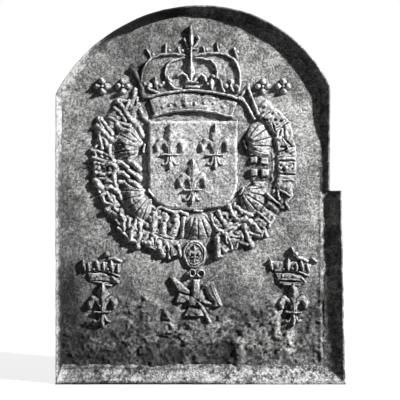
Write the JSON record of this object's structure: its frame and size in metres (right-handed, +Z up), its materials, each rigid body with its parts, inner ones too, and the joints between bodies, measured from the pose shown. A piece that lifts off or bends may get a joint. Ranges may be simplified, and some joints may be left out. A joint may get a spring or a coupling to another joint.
{
  "type": "fireback",
  "caption": "Arched cast-iron fireback with a splayed border, a shoulder on one side, and a crowned shield, collars and a pendant cross in relief.",
  "frame": {"origin": "on the underside, which stands on the hearth, midway between the plate's two long edges and midway through its thickness", "axes": "+Z up, +Y towards the chimney wall, +X to the right as seen from the ornamented front, which faces -Y"},
  "size_m": [0.69, 0.056, 0.9],
  "materials": {
    "plate": "rough sand-cast iron, pitted and burnt grey, matt with a faint sheen",
    "rim": "sand-cast iron under soot, matt",
    "sill": "sand-cast iron dusted with pale ash",
    "relief": "worn sand-cast iron, rubbed brighter on its raised edges"
  },
  "bodies": {
    "root": {"back_plate": "plate", "left_border": "plate", "left_arch_border": "rim", "right_arch_border": "rim", "right_border": "rim", "right_shoulder": "rim", "hearth_sill": "sill", "shield": "relief", "left_fleur_de_lis": "relief", "right_fleur_de_lis": "relief", "lower_fleur_de_lis": "relief", "crown_circlet": "relief", "crown_jewels": "relief", "crown_fleurons": "relief", "crown_left_outer_arch": "relief", "crown_right_outer_arch": "relief", "crown_left_inner_arch": "relief", "crown_right_inner_arch": "relief", "crown_centre_arch": "relief", "crown_pearls": "relief", "crown_finial": "relief", "left_ribbon": "relief", "right_ribbon": "relief", "upper_left_shell": "relief", "lower_left_shell": "relief", "bottom_shell": "relief", "lower_right_shell": "relief", "upper_right_shell": "relief", "left_knots": "relief", "right_knots": "relief", "lower_left_bars": "relief", "lower_right_bars": "relief", "left_collar_cord": "relief", "right_collar_cord": "relief", "left_lances": "relief", "right_lances": "relief", "left_spear": "relief", "right_spear": "relief", "left_clasps": "relief", "right_clasps": "relief", "left_lozenge": "relief", "right_lozenge": "relief", "left_leaf_spray": "relief", "right_leaf_spray": "relief", "left_crossed_staves": "relief", "right_crossed_staves": "relief", "left_banners": "relief", "right_banner": "relief", "medallion": "relief", "medallion_rings": "relief", "pendant_cross": "relief", "cross_boss": "relief", "left_small_crown": "relief", "right_small_crown": "relief", "left_device": "relief", "right_device": "relief", "outer_left_rosette": "relief", "inner_left_rosette": "relief", "inner_right_rosette": "relief", "outer_right_rosette": "relief"}
  },
  "joints": []
}
